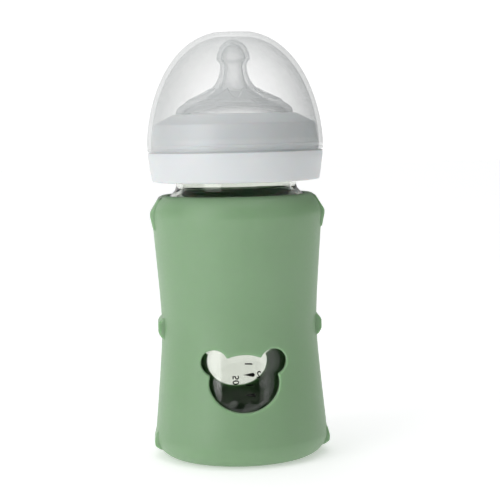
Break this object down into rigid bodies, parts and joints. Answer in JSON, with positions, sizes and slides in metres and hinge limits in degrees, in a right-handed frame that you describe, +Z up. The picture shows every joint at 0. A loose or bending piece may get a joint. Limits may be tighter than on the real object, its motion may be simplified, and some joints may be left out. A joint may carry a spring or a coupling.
{
  "type": "baby bottle",
  "caption": "Wide-neck glass baby bottle in a waisted silicone grip sleeve, with a silicone teat, a screw ring and a translucent dome cap.",
  "frame": {"origin": "centre of the underside, on the surface that the bottle stands on", "axes": "+Z up along the bottle's axis, front window towards -Y, grip pads on the +X and -X sides"},
  "size_m": [0.0714, 0.071, 0.1708],
  "materials": {
    "clear_glass": "clear, polished borosilicate glass",
    "green_silicone": "matt sage green silicone",
    "black_enamel": "printed black enamel",
    "clear_silicone": "translucent, slightly frosted silicone",
    "white_plastic": "satin white polypropylene",
    "frosted_plastic": "translucent frosted polypropylene"
  },
  "bodies": {
    "bottle": {"glass_bottle": "clear_glass", "silicone_sleeve": "green_silicone", "measuring_scale": "black_enamel"},
    "teat": {"teat": "clear_silicone"},
    "ring": {"screw_ring": "white_plastic"},
    "cap": {"dome_cap": "frosted_plastic"}
  },
  "joints": [
    {"name": "ring_rise", "type": "slide", "parent": "bottle", "child": "teat", "axis": [0, 0, 1], "range_m": [0, 0.015]},
    {"name": "ring_turn", "type": "hinge", "parent": "teat", "child": "ring", "pos_m": [0, 0, 0.12], "axis": [0, 0, 1], "range_deg": [0, 1080]},
    {"name": "cap_lift", "type": "slide", "parent": "ring", "child": "cap", "axis": [0, 0, 1], "range_m": [0, 0.06]}
  ],
  "couplings": [
    {"joint": "ring_rise", "follows": "ring_turn", "m_per_rad": 0.00079577}
  ]
}
